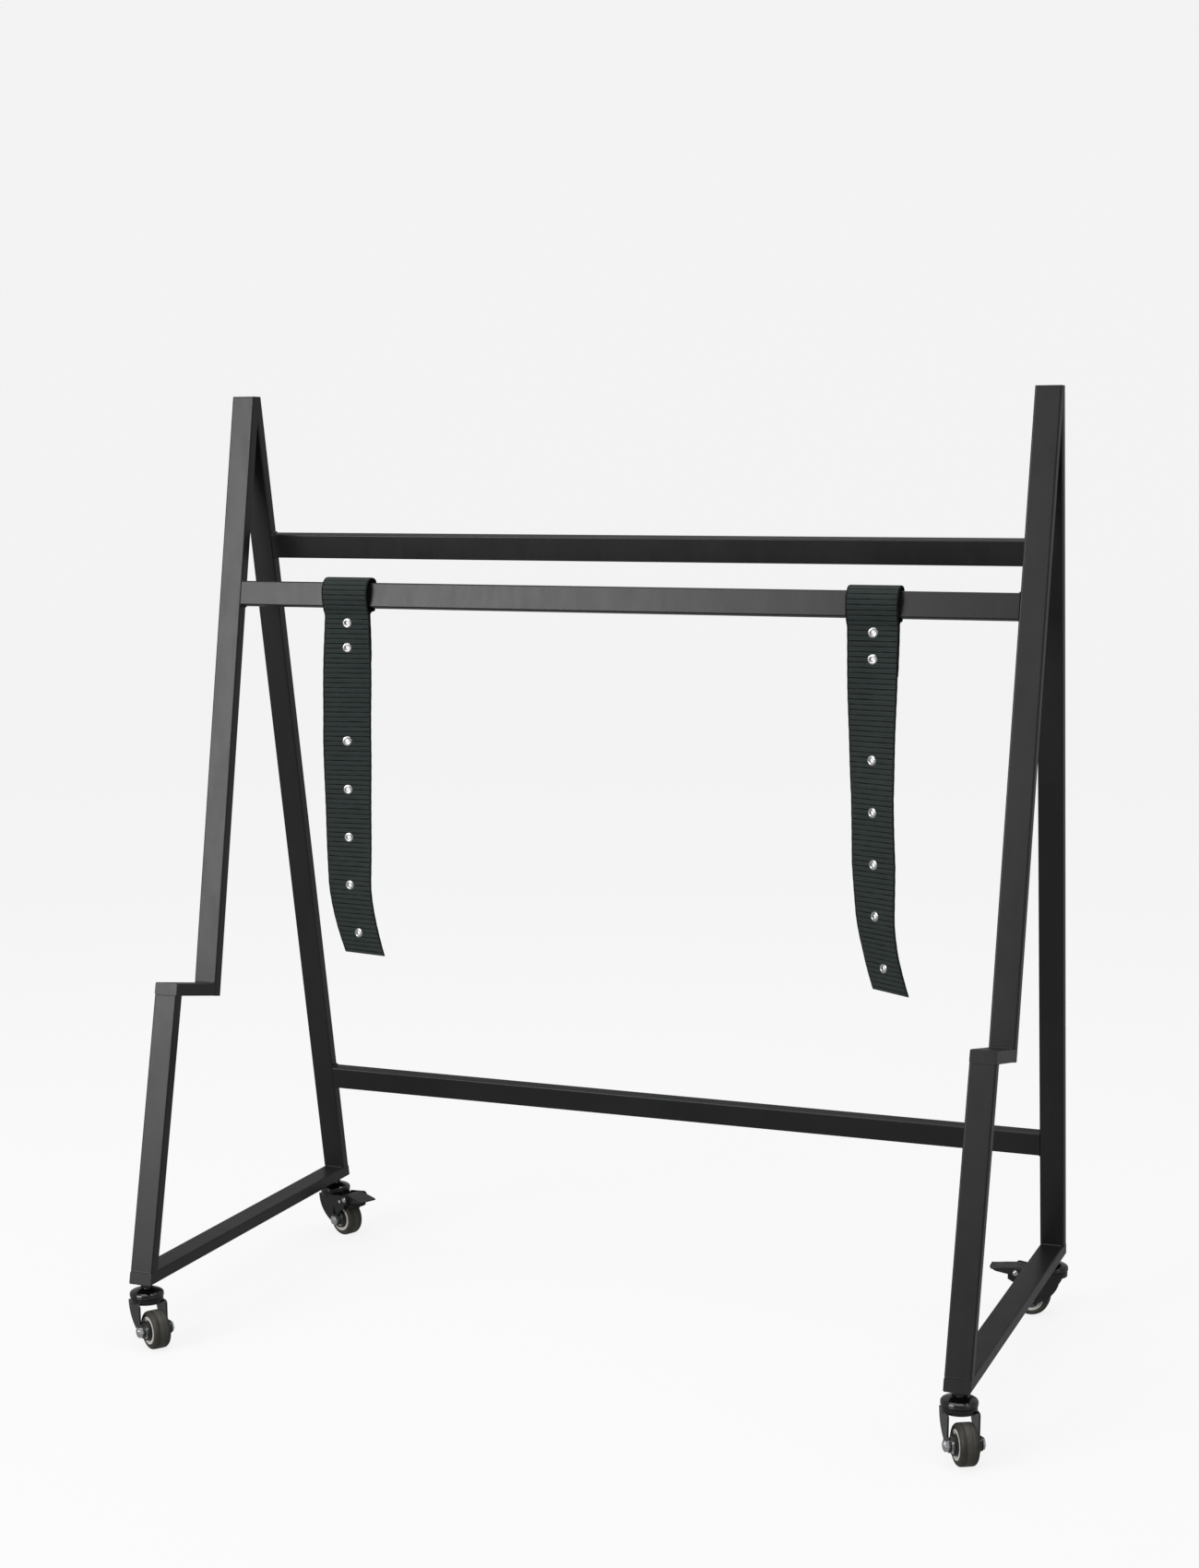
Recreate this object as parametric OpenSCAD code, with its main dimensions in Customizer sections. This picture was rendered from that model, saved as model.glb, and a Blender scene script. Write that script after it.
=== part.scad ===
// Wheeled A-frame background stand: two stepped side frames of rectangular steel tube, three
// crossbars, two eyelet straps looped over the front bar, and four swivel casters, the rear
// pair with brakes. Millimetres, +Z up. The origin is on the floor at the middle of the
// stand's width and depth, and the ledge side faces -Y.

/* [Stand] */
// Overall width over the two side frames
overall_w = 1382; // [1200:2:1600]
// Depth of each side frame along its bottom rail
base_d = 704; // [680:2:740]
// Height of each side frame without its casters
frame_h = 1411; // [1390:1:1450]
// Depth of each side frame at its closed top
top_d = 24.5; // [23:0.5:27]

/* [Tube] */
// Wide side of the rectangular tube
tube_w = 40; // [38:1:44]
// Narrow side of the rectangular tube
tube_t = 20; // [18:1:22]
// Wall of the rectangular tube
tube_wall = 1.5; // [1:0.5:2]
// Outer corner radius of the rectangular tube
corner_r = 2.5; // [2:0.5:4]

/* [Side frames] */
// Lean of the lower front legs, in degrees
lean_lower = 13.4; // [12:0.1:14]
// Lean of the upper front legs, in degrees
lean_upper = 10.9; // [10:0.1:12]
// Height of the ledge's front edge above the bottom rail's underside
ledge_h = 476.5; // [440:0.5:500]
// Depth of the ledge in front of the upper front leg
ledge_d = 125.5; // [110:0.5:140]

/* [Crossbars] */
// Height of the front bar's middle above the bottom rail's underside
front_bar_h = 1092; // [1060:1:1130]
// Height of the rear upper bar's middle above the bottom rail's underside
rear_upper_bar_h = 1165; // [1140:1:1200]
// Height of the rear lower bar's middle above the bottom rail's underside
rear_lower_bar_h = 199; // [160:1:260]

/* [Straps] */
// Width of the webbing
strap_w = 82; // [70:1:90]
// Thickness of the webbing
strap_t = 2.4; // [2:0.2:3]
// Length of the webbing that hangs below the front bar
strap_drop = 560; // [540:5:600]
// Length of the short back layer below the front bar
strap_return = 74; // [60:1:90]
// Place of the left strap's middle along the front bar
left_strap_x = -453; // [-480:1:-420]
// Place of the right strap's middle along the front bar
right_strap_x = 431; // [400:1:460]
// Outer diameter of an eyelet
eyelet_od = 16; // [14:1:18]
// Hole diameter of an eyelet
eyelet_hole = 8; // [6:0.5:9]

/* [Casters] */
// Diameter of a wheel
wheel_d = 63; // [60:1:64]
// Width of a tyre
wheel_w = 29; // [26:1:32]
// Height of the side frames' underside above the floor
caster_h = 103; // [102:0.5:106]
// Horizontal distance from a caster's stem to its axle
trail = 32; // [30:1:34]
// Swivel angle of the front left caster, in degrees
front_left_angle = -35; // [-180:1:180]
// Swivel angle of the front right caster, in degrees
front_right_angle = -60; // [-180:1:180]
// Swivel angle of the rear left caster, in degrees
rear_left_angle = -25; // [-180:1:180]
// Swivel angle of the rear right caster, in degrees
rear_right_angle = 182; // [-180:1:190]

/* [Hidden] */
$fn = 48;
SIDES = ["left", "right"];
CASTERS = ["front_left", "front_right", "rear_left", "rear_right"];
FRAME_PARTS = ["upper_front_leg", "ledge", "lower_front_leg", "bottom_rail", "rear_leg", "top_cap"];
BARS = ["front_bar", "rear_upper_bar", "rear_lower_bar"];
SHARED_PARTS = ["rail_weld_nuts", "stem_jam_nuts", "caster_stems", "swivel_caps", "swivel_balls"];
STRAP_PARTS = ["loop", "fold", "tail", "eyelets"];
CASTER_PARTS = ["fork", "axle", "tyre", "rim", "side_rings", "bearings"];
BRAKE_PARTS = ["brake_pedal", "brake_pin", "brake_shoe"];

// Colours
PAINT = "#3a3a3a";
WEB = "#262c2b";
ZINC = "silver";
BLACK = "#1e1e1e";
TYRE = "#3b372f";
IVORY = "#e8e4da";

// The side frames' lines, with y from the front lower corner and z from the rail's underside
front_y = -336;
big = 400;
cap_t = 2;
plug_t = 2;
ledge_y = tan(lean_lower) * ledge_h;
leg_start = ledge_d * cos(lean_upper);
top_front_y = ledge_y + ledge_d + tan(lean_upper) * (frame_h - ledge_h);
lean_rear = atan((base_d - top_front_y - top_d) / frame_h);
upper_leg_len = (frame_h - ledge_h) / cos(lean_upper) + leg_start * tan(lean_upper);
inner_w = overall_w - 2 * tube_w;
frame_x = overall_w / 2 - tube_w / 2;
// The mitre between an upper front leg and a rear leg runs from the inner faces' meeting
// point up along the bisector of the two leans
mitre_lean = (lean_upper - lean_rear) / 2;
front_back_y0 = ledge_y + ledge_d + tube_t / cos(lean_upper) - tan(lean_upper) * ledge_h;
rear_front_y0 = base_d - tube_t / cos(lean_rear);
mitre_z = (rear_front_y0 - front_back_y0) / (tan(lean_upper) + tan(lean_rear));
mitre_y = front_back_y0 + tan(lean_upper) * mitre_z;

// Casters, with z from the rail's underside
stem_inset = 20;
stem_r = 6;
pin_r = 5;
running = 0.05;
jam_nut_t = 8;
cap_top_z = -9.5;
cap_r = 27.5;
cap_bottom_z = -23.5;
cap_inner_r = 24.5;
cap_roof_z = -19.5;
ball_r = 3;
ball_circle_r = 19;
ball_z = -22.5;
ball_count = 12;
race_r = 26.5;
crown_z = -30;
sheet_t = 2.5;
fork_in = 22;
crown_lead = -18;
cheek_bulge = [-15, 5.5];
cheek_foot = -110;
crown_trail = 17;
cheek_trail = 24.5;
boss_r = 11;
axle_z = wheel_d / 2 - caster_h;
axle_r = 5;
pedal_pin = [56.5, -28.8];
pedal_pin_r = 3;
pedal_half_w = 18;
ear_r = 8;
rivet = [42.8, -34.7];
rivet_r = 2;

// Straps, hinged on the pinch line just under the front bar
front_bar_y = front_y + ledge_y + ledge_d + tan(lean_upper) * (front_bar_h - ledge_h);
pinch_y = front_bar_y - 2.5;
pinch_z = caster_h + front_bar_h - 34;
loop_end = 4;
pair_pitch = 40;
eyelet_row_start = 193;
eyelet_row_pitch = 80;
eyelet_row_count = 5;
eyelet_row = [
    0, pair_pitch, for (i = [0:eyelet_row_count - 1]) eyelet_row_start + i * eyelet_row_pitch
];
flange_t = 1;
seam = 0.05;
slab = 40;

// Where a strap's middle sways to sideways, and how far it twists, at drop d below the pinch
function sway(side, d) = side == "left"
    ? -5 * min(d / 200, 1) + 26 * pow(max(d - 440, 0) / (strap_drop - 440), 1.6)
    : 20 * pow(d / strap_drop, 2) + 20 * pow(max(d - 440, 0) / (strap_drop - 440), 1.6);
function twist(side, d) = side == "left"
    ? lookup(d, [[0, 0], [60, 8], [120, 12], [200, 12], [330, 4], [strap_drop, -11]])
    : lookup(d, [[0, 0], [160, -15], [260, -23], [360, -21], [500, -33], [strap_drop, -33]]);
function strap_x(side) = side == "left" ? left_strap_x : right_strap_x;
function eyelet_drops(side) = [for (d = eyelet_row) d + (side == "left" ? 12 : 9)];

function caster_angle(place) =
    place == "front_left" ? front_left_angle :
    place == "front_right" ? front_right_angle :
    place == "rear_left" ? rear_left_angle : rear_right_angle;
function stem_x(place) = (place == "front_left" || place == "rear_left") ? -frame_x : frame_x;
function stem_y(place) = front_y + (
    (place == "front_left" || place == "front_right") ? stem_inset : base_d - stem_inset);
function is_rear(place) = place == "rear_left" || place == "rear_right";

// Point on circle (c, r) where the line from point p touches it, on side s (1 or -1)
function tangent_point(p, c, r, s) =
    let (d = c - p, l = norm(d), a = atan2(d[1], d[0]), b = asin(r / l), t = sqrt(l * l - r * r))
    p + t * [cos(a + s * b), sin(a + s * b)];

// ---- Tube and frame ----

module rounded_rect(w, t, r) {
    square([w, t - 2 * r], center = true);
    square([w - 2 * r, t], center = true);
    for (sx = [-1, 1]) {
        for (sy = [-1, 1]) {
            translate([sx * (w / 2 - r), sy * (t / 2 - r)]) circle(r);
        }
    }
}

// A length of tube along +Z from 0, wide across X, with its front face in the plane y = 0
module tube(len) {
    translate([0, tube_t / 2, 0])
        linear_extrude(len)
            difference() {
                rounded_rect(tube_w, tube_t, corner_r);
                rounded_rect(tube_w - 2 * tube_wall, tube_t - 2 * tube_wall, corner_r - tube_wall / 2);
            }
}

// The same tube filled in, for end plugs
module bar_solid(len) {
    translate([0, tube_t / 2, 0])
        linear_extrude(len)
            rounded_rect(tube_w, tube_t, corner_r);
}

module in_side(side) {
    x = side == "left" ? -frame_x : frame_x;
    translate([x, front_y, caster_h]) children();
}

// Upper frame axes: the ledge runs along +Y and the upper front leg along +Z
module on_ledge() {
    translate([0, ledge_y, ledge_h]) rotate([-lean_upper, 0, 0]) children();
}

module half_space(lower) {
    translate([-big, -2 * big, lower ? -4 * big : 0]) cube([2 * big, 4 * big, 4 * big]);
}

module mitre_side(front) {
    translate([0, mitre_y, mitre_z])
        rotate([-mitre_lean, 0, 0])
            translate([-big, front ? 0 : -2 * big, -big])
                cube([2 * big, 2 * big, 2 * big]);
}

module upper_front_leg(side) {
    color(PAINT)
        in_side(side)
            difference() {
                on_ledge() {
                    translate([0, leg_start, -tube_t]) tube(upper_leg_len + 2 * tube_t);
                    translate([0, leg_start, -tube_t]) bar_solid(plug_t);
                }
                translate([0, 0, frame_h - cap_t]) half_space(false);
                mitre_side(true);
            }
}

module ledge(side) {
    color(PAINT)
        in_side(side)
            difference() {
                on_ledge()
                    translate([0, -tube_t, 0])
                        rotate([-90, 0, 0])
                            union() {
                                tube(leg_start + tube_t);
                                bar_solid(tube_t + plug_t);
                            }
                rotate([-lean_lower, 0, 0])
                    translate([-big, -big, 0])
                        cube([2 * big, big, 2 * big]);
            }
}

module lower_front_leg(side) {
    color(PAINT)
        in_side(side)
            difference() {
                rotate([-lean_lower, 0, 0]) tube(ledge_h * 1.1);
                translate([0, 0, tube_t]) half_space(true);
                on_ledge() translate([0, 0, -tube_t]) half_space(false);
            }
}

module bottom_rail(side) {
    color(PAINT)
        in_side(side)
            difference() {
                translate([0, 0, tube_t])
                    rotate([-90, 0, 0])
                        difference() {
                            union() {
                                tube(base_d);
                                bar_solid(plug_t + tan(lean_lower) * tube_t);
                                translate([0, 0, base_d - plug_t - tan(lean_rear) * tube_t])
                                    bar_solid(plug_t + tan(lean_rear) * tube_t);
                            }
                        }
                rotate([-lean_lower, 0, 0])
                    translate([-big, -big, -big])
                        cube([2 * big, big, 2 * big]);
                translate([0, base_d, 0])
                    rotate([lean_rear, 0, 0])
                        translate([-big, 0, -big])
                            cube([2 * big, big, 2 * big]);
                for (y = [stem_inset, base_d - stem_inset]) {
                    translate([0, y, -1]) cylinder(r = stem_r + 0.5, h = tube_wall + 2);
                }
            }
}

module rear_leg(side) {
    color(PAINT)
        in_side(side)
            difference() {
                translate([0, base_d, 0])
                    rotate([lean_rear, 0, 0])
                        translate([0, -tube_t, 0])
                            tube(frame_h * 1.1);
                translate([0, 0, tube_t]) half_space(true);
                translate([0, 0, frame_h - cap_t]) half_space(false);
                mitre_side(false);
            }
}

module top_cap(side) {
    color(PAINT)
        in_side(side)
            translate([0, top_front_y + top_d / 2, frame_h - cap_t])
                linear_extrude(cap_t)
                    rounded_rect(tube_w, top_d, corner_r);
}

// A crossbar between the side frames, with its middle at the origin's height on the plane y = 0
module crossbar() {
    rotate([0, 90, 0])
        rotate([0, 0, 90])
            linear_extrude(inner_w, center = true)
                translate([tube_t / 2, 0])
                    rotate(90)
                        difference() {
                            rounded_rect(tube_w, tube_t, corner_r);
                            rounded_rect(
                                tube_w - 2 * tube_wall, tube_t - 2 * tube_wall, corner_r - tube_wall / 2);
                        }
}

// Puts a crossbar flush with the upper front legs' front faces
module on_front_bar() {
    translate([0, front_bar_y, caster_h + front_bar_h])
        rotate([-lean_upper, 0, 0])
            children();
}

// Puts a crossbar flush with the rear legs' front faces, with its middle at height h
module on_rear_legs(h) {
    translate([0, front_y + base_d - tan(lean_rear) * h - tube_t / cos(lean_rear), caster_h + h])
        rotate([lean_rear, 0, 0])
            children();
}

module front_bar() {
    color(PAINT) on_front_bar() crossbar();
}

module rear_upper_bar() {
    color(PAINT) on_rear_legs(rear_upper_bar_h) crossbar();
}

module rear_lower_bar() {
    color(PAINT) on_rear_legs(rear_lower_bar_h) crossbar();
}

// ---- Fixed parts of the casters ----

module at_stem(place) {
    translate([stem_x(place), stem_y(place), caster_h]) children();
}

module hex_nut(flats, t, bore_r) {
    difference() {
        cylinder(r = flats / 2 / cos(30), h = t, $fn = 6);
        translate([0, 0, -1]) cylinder(r = bore_r, h = t + 2);
    }
}

module rail_weld_nuts() {
    color(ZINC)
        for (place = CASTERS) {
            at_stem(place) translate([0, 0, tube_wall]) hex_nut(18, 10, stem_r);
        }
}

module stem_jam_nuts() {
    color(ZINC)
        for (place = CASTERS) {
            at_stem(place) translate([0, 0, -jam_nut_t]) hex_nut(18, jam_nut_t, stem_r);
        }
}

module caster_stems() {
    color(ZINC)
        for (place = CASTERS) {
            at_stem(place) {
                translate([0, 0, cap_top_z]) cylinder(r = stem_r, h = 12 - cap_top_z);
                translate([0, 0, crown_z - 6]) cylinder(r = pin_r, h = cap_top_z - crown_z + 6);
                translate([0, 0, crown_z - 6]) cylinder(r = 8, h = 2.6);
            }
        }
}

module swivel_caps() {
    color(BLACK)
        for (place = CASTERS) {
            at_stem(place)
                rotate_extrude($fn = 64)
                    difference() {
                        polygon([
                            [pin_r + running, cap_top_z], [12, cap_top_z], [14, cap_top_z - 1.2],
                            [cap_r - 4, cap_top_z - 4.5], [cap_r - 1, cap_top_z - 6.5], [cap_r, cap_top_z - 8.5],
                            [cap_r, cap_bottom_z + 1], [cap_r - 1, cap_bottom_z], [cap_inner_r, cap_bottom_z],
                            [cap_inner_r, cap_roof_z], [pin_r + running, cap_roof_z]
                        ]);
                        translate([cap_r + 0.4, cap_top_z - 10.5]) circle(0.9);
                        translate([ball_circle_r, ball_z]) circle(ball_r + 0.2);
                    }
        }
}

module swivel_balls() {
    color(ZINC)
        for (place = CASTERS) {
            at_stem(place)
                for (i = [0:ball_count - 1]) {
                    rotate([0, 0, i * 360 / ball_count])
                        translate([ball_circle_r, 0, ball_z])
                            sphere(ball_r - 0.2, $fn = 24);
                }
        }
}

// ---- Turning parts of the casters: x runs from the stem to the axle, y across the fork ----

module at_caster(place) {
    at_stem(place) rotate([0, 0, caster_angle(place)]) children();
}

// One cheek's outline, x along the trail and y up, bulging ahead of the wheel, with the brake's
// ear on a rear caster
module cheek_outline(rear) {
    axle = [trail, axle_z];
    start = [crown_lead, crown_z - 2];
    bulge = [cheek_bulge[0], axle_z + cheek_bulge[1]];
    foot = axle + boss_r * [cos(cheek_foot), sin(cheek_foot)];
    translate(axle) circle(boss_r);
    polygon(concat(
        [[crown_lead, crown_z]],
        [for (t = [0:0.1:0.91]) (1 - t) * (1 - t) * start + 2 * t * (1 - t) * bulge + t * t * foot],
        [
            axle + (boss_r - 0.3) * [cos(cheek_foot + 4), sin(cheek_foot + 4)], axle,
            [cheek_trail, axle_z + boss_r / 2], [cheek_trail, crown_z - 3], [cheek_trail - 3, crown_z]
        ]
    ));
    if (rear) {
        neck = [trail + 4, axle_z + boss_r - 1];
        ear_low = tangent_point(neck, pedal_pin, ear_r, -1);
        translate(pedal_pin) circle(ear_r);
        polygon([
            [crown_trail, crown_z + 3], pedal_pin + [0, ear_r], pedal_pin, ear_low, neck,
            [crown_trail, crown_z - 6]
        ]);
    }
}

module fork(place) {
    rear = is_rear(place);
    color(BLACK)
        at_caster(place)
            difference() {
                union() {
                    rotate_extrude($fn = 64)
                        polygon([
                            [pin_r - 1, crown_z - sheet_t], [pin_r - 1, crown_z],
                            [10, crown_z], [13, crown_z + 3], [17, crown_z + 4.4], [21, crown_z + 4.4],
                            [24, crown_z + 5.9], [race_r, crown_z + 5.9], [race_r, crown_z - sheet_t]
                        ]);
                    translate([crown_lead, -fork_in - sheet_t, crown_z - sheet_t])
                        cube([crown_trail - crown_lead, 2 * (fork_in + sheet_t), sheet_t]);
                    for (y = [-fork_in - sheet_t, fork_in]) {
                        translate([0, y + sheet_t, 0])
                            rotate([90, 0, 0])
                                linear_extrude(sheet_t)
                                    cheek_outline(rear);
                    }
                }
                translate([0, 0, crown_z - 10]) cylinder(r = pin_r + running, h = 30);
                across(trail, axle_z) cylinder(r = axle_r, h = 100);
                if (rear) {
                    across(pedal_pin[0], pedal_pin[1]) cylinder(r = pedal_pin_r, h = 100);
                    across(rivet[0], rivet[1]) cylinder(r = rivet_r, h = 100);
                }
            }
}

// Start of a 100 mm long line across the fork at x, z
module across(x, z) {
    translate([x, 50, z]) rotate([90, 0, 0]) children();
}

module at_axle(place) {
    at_caster(place) translate([trail, 0, axle_z]) rotate([-90, 0, 0]) children();
}

// Bolt with its head at +y and its nut at -y, and the two spacers beside the bearings
module axle(place) {
    grip = fork_in + sheet_t;
    color(ZINC)
        at_axle(place) {
            translate([0, 0, -grip - 8]) cylinder(r = axle_r, h = 2 * grip + 8);
            translate([0, 0, grip]) cylinder(r = 16 / 2 / cos(30), h = 3.6, $fn = 6);
            translate([0, 0, -grip - 6.5]) hex_nut(16, 6.5, axle_r);
            for (s = [-1, 1]) {
                translate([0, 0, s * (fork_in - 0.75) - 0.7])
                    difference() {
                        cylinder(r = 8, h = 1.4);
                        translate([0, 0, -1]) cylinder(r = axle_r, h = 4);
                    }
            }
        }
}

module tyre(place) {
    half = wheel_w / 2;
    shoulder = 6;
    r_in = 22.5 + running;
    r_out = wheel_d / 2;
    color(TYRE)
        at_axle(place)
            rotate_extrude($fn = 96)
                difference() {
                    union() {
                        translate([r_in, -half + 1.5]) square([r_out - r_in - shoulder, wheel_w - 3]);
                        translate([r_in, -half + shoulder]) square([r_out - r_in, wheel_w - 2 * shoulder]);
                        for (s = [-1, 1]) {
                            translate([r_out - shoulder, s * (half - shoulder)]) circle(shoulder);
                        }
                    }
                    translate([0, -wheel_w]) square([r_in, 2 * wheel_w]);
                }
}

module rim(place) {
    color(BLACK)
        at_axle(place)
            rotate_extrude($fn = 96)
                difference() {
                    union() {
                        translate([7, -19]) square([8.5, 38]);
                        translate([7, -4]) square([15.5, 8]);
                        translate([19.5, -11.5]) square([3, 23]);
                    }
                    translate([0, -20]) square([13, 9]);
                    translate([0, 11]) square([13, 9]);
                }
}

module side_rings(place) {
    color(IVORY)
        at_axle(place)
            for (s = [0, 180]) {
                rotate([s, 0, 0])
                    rotate_extrude($fn = 96)
                        difference() {
                            polygon([
                                [16, 11.5], [16, 12.6], [17, 13.4], [22, 14.4], [22.5, 14], [22.5, 11.5]
                            ]);
                            translate([19.2, 14.2]) circle(0.7);
                        }
            }
}

module bearings(place) {
    color(ZINC)
        at_axle(place)
            for (z = [-19, 11]) {
                translate([0, 0, z])
                    difference() {
                        cylinder(r = 13 - running, h = 8);
                        translate([0, 0, -1]) cylinder(r = axle_r + running, h = 10);
                    }
            }
}

// ---- Brake of a rear caster ----

module brake_pedal(place) {
    deck = [[45, -22.5], [55, -21], [78, -23.2], [94, -25.4], [99, -25.2], [102, -23.8]];
    flange = [[47, -23], [95, -27.5], [94, -29], [90, -30.5], [71, -33.5], [62, -34.5], [51, -34]];
    color(BLACK)
        at_caster(place)
            difference() {
                union() {
                    intersection() {
                        translate([0, pedal_half_w, 0])
                            rotate([90, 0, 0])
                                linear_extrude(2 * pedal_half_w)
                                    polygon(concat(
                                        deck,
                                        [for (i = [len(deck) - 1:-1:0]) deck[i] - [0, 2.5]]
                                    ));
                        translate([0, 0, -50]) linear_extrude(50) tread_plan();
                    }
                    for (y = [-pedal_half_w, pedal_half_w - sheet_t]) {
                        translate([0, y + sheet_t, 0])
                            rotate([90, 0, 0])
                                linear_extrude(sheet_t) {
                                    translate(pedal_pin) circle(6.5);
                                    polygon(flange);
                                }
                    }
                }
                across(pedal_pin[0], pedal_pin[1]) cylinder(r = pedal_pin_r + running, h = 100);
            }
}

// The pedal's plan, with its tip's corners rounded
module tread_plan() {
    r = 9;
    translate([40, -pedal_half_w]) square([62 - r, 2 * pedal_half_w]);
    translate([40, -pedal_half_w + r]) square([62, 2 * (pedal_half_w - r)]);
    for (s = [-1, 1]) {
        translate([102 - r, s * (pedal_half_w - r)]) circle(r);
    }
}

module rivet_head(r, t) {
    rotate_extrude()
        intersection() {
            translate([0, t - 1.2 * r]) circle(1.2 * r);
            square([r, t]);
        }
}

// The pedal's hinge pin, and the rivets that hold its spring plate to the cheeks
module brake_pin(place) {
    reach = fork_in + sheet_t;
    color(ZINC)
        at_caster(place) {
            translate([pedal_pin[0], 0, pedal_pin[1]])
                rotate([90, 0, 0]) {
                    cylinder(r = pedal_pin_r, h = 2 * reach, center = true);
                    for (s = [0, 180]) {
                        rotate([s, 0, 0]) translate([0, 0, reach]) rivet_head(5, 3);
                    }
                }
            translate([rivet[0], 0, rivet[1]])
                for (s = [90, -90]) {
                    rotate([s, 0, 0]) {
                        translate([0, 0, fork_in]) cylinder(r = rivet_r, h = sheet_t);
                        translate([0, 0, reach]) rivet_head(3.6, 1.8);
                    }
                }
        }
}

// Pad between the pedal's flanges that the pressed pedal swings against the tyre
module brake_shoe(place) {
    half = pedal_half_w - sheet_t;
    color(BLACK)
        at_caster(place)
            translate([0, half, 0])
                rotate([90, 0, 0])
                    linear_extrude(2 * half)
                        polygon([[60.5, -32], [70.5, -32.5], [70.5, -42.5], [61, -47.5], [55, -43], [56, -36]]);
}

// ---- Straps ----

// Outside of the loop's section as [y, z] from the pinch line: over the front bar, then down
// the slack front layer, and back up the layer behind the bar
loop_outline = [
    [1.6, loop_end], [-2.8, loop_end], [-5.4, 9], [-8, 18], [-9.8, 27], [-10.2, 36], [-8.6, 45], [-4.6, 53],
    [0.8, 58.2], [7.4, 61], [15, 61.4], [22.6, 59.4], [27.8, 55.2], [29.6, 50], [28.8, 42], [26.4, 28],
    [23.6, 12.6], [21.4, 7.4], [17, 6.4], [9, 5.4]
];

// Points of closed outline p moved inwards by e
function inset(p, e) = [
    for (i = [0:len(p) - 1])
        let (
            n = len(p),
            a = p[(i + n - 1) % n],
            b = p[(i + 1) % n],
            d = (b - a) / norm(b - a)
        )
        p[i] + e * [d[1], -d[0]]
];

// Slack webbing loop round the front bar, closed where its two layers meet below it
module strap_loop(side) {
    color(WEB)
        translate([strap_x(side) - 1, pinch_y, pinch_z])
            rotate([90, 0, 90])
                linear_extrude(strap_w, center = true)
                    difference() {
                        polygon(loop_outline);
                        polygon(inset(loop_outline, strap_t));
                    }
}

// A piece of hanging webbing between drops d0 and d1, from x0 to x1 across its width and from
// depth y0 to y1 across its thickness
module webbing_slab(side, d0, d1, x0, x1, y0, y1) {
    corners = [[x0, y0], [x1, y0], [x1, y1], [x0, y1]];
    points = [
        for (d = [d0 + seam / 2, d1 - seam / 2])
            let (a = twist(side, d), x = sway(side, d))
            for (c = corners)
                [x + c[0] * cos(a) - c[1] * sin(a), c[0] * sin(a) + c[1] * cos(a), -d]
    ];
    polyhedron(points, [
        [3, 2, 1, 0], [4, 5, 6, 7], [0, 1, 5, 4], [1, 2, 6, 5], [2, 3, 7, 6], [3, 0, 4, 7]
    ]);
}

// One layer of hanging webbing down to drop d_end, open round each eyelet
module webbing_layer(side, d_end, y0, y1) {
    gap = eyelet_hole / 2 + 1;
    drops = [for (d = eyelet_drops(side)) if (d < d_end) d];
    starts = concat([strap_t + seam], [for (d = drops) d + gap]);
    ends = concat([for (d = drops) d - gap], [d_end]);
    for (i = [0:len(starts) - 1]) {
        parts = ceil((ends[i] - starts[i]) / slab);
        step = (ends[i] - starts[i]) / parts;
        for (k = [0:parts - 1]) {
            webbing_slab(
                side, starts[i] + k * step, starts[i] + (k + 1) * step,
                -strap_w / 2, strap_w / 2, y0, y1);
        }
    }
    for (d = drops) {
        webbing_slab(side, d - gap, d + gap, -strap_w / 2, -gap, y0, y1);
        webbing_slab(side, d - gap, d + gap, gap, strap_w / 2, y0, y1);
    }
}

module at_pinch(side) {
    translate([strap_x(side), pinch_y, pinch_z]) children();
}

module at_eyelet(side, d) {
    layers = d < strap_return ? 2 : 1;
    at_pinch(side)
        translate([sway(side, d), 0, -d])
            rotate([0, 0, twist(side, d)])
                translate([0, layers == 2 ? 0 : -strap_t / 2, 0])
                    rotate([90, 0, 0])
                        children();
}

// Rolled fold of webbing on the line where the loop closes and the hanging end swings
module strap_fold(side) {
    color(WEB)
        at_pinch(side)
            rotate([0, 90, 0]) cylinder(r = strap_t, h = strap_w, center = true);
}

module strap_tail(side) {
    color(WEB)
        at_pinch(side) {
            webbing_layer(side, strap_drop, -strap_t, -seam / 2);
            webbing_layer(side, strap_return, seam / 2, strap_t);
        }
}

module strap_eyelets(side) {
    color(ZINC)
        for (d = eyelet_drops(side)) {
            half = (d < strap_return ? 1 : 0.5) * strap_t;
            at_eyelet(side, d)
                difference() {
                    union() {
                        cylinder(r = eyelet_hole / 2 + 1, h = 2 * half, center = true);
                        for (z = [half, -half - flange_t]) {
                            translate([0, 0, z]) cylinder(r = eyelet_od / 2, h = flange_t);
                        }
                    }
                    cylinder(r = eyelet_hole / 2, h = 30, center = true);
                }
        }
}

// ---- Nodes ----

for (side = SIDES) {
    upper_front_leg(side);
    ledge(side);
    lower_front_leg(side);
    bottom_rail(side);
    rear_leg(side);
    top_cap(side);
    strap_loop(side);
    strap_fold(side);
    strap_tail(side);
    strap_eyelets(side);
}
front_bar();
rear_upper_bar();
rear_lower_bar();
rail_weld_nuts();
stem_jam_nuts();
caster_stems();
swivel_caps();
swivel_balls();
for (place = CASTERS) {
    fork(place);
    axle(place);
    tyre(place);
    rim(place);
    side_rings(place);
    bearings(place);
}
for (place = ["rear_left", "rear_right"]) {
    brake_pedal(place);
    brake_pin(place);
    brake_shoe(place);
}
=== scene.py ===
import math

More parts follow.
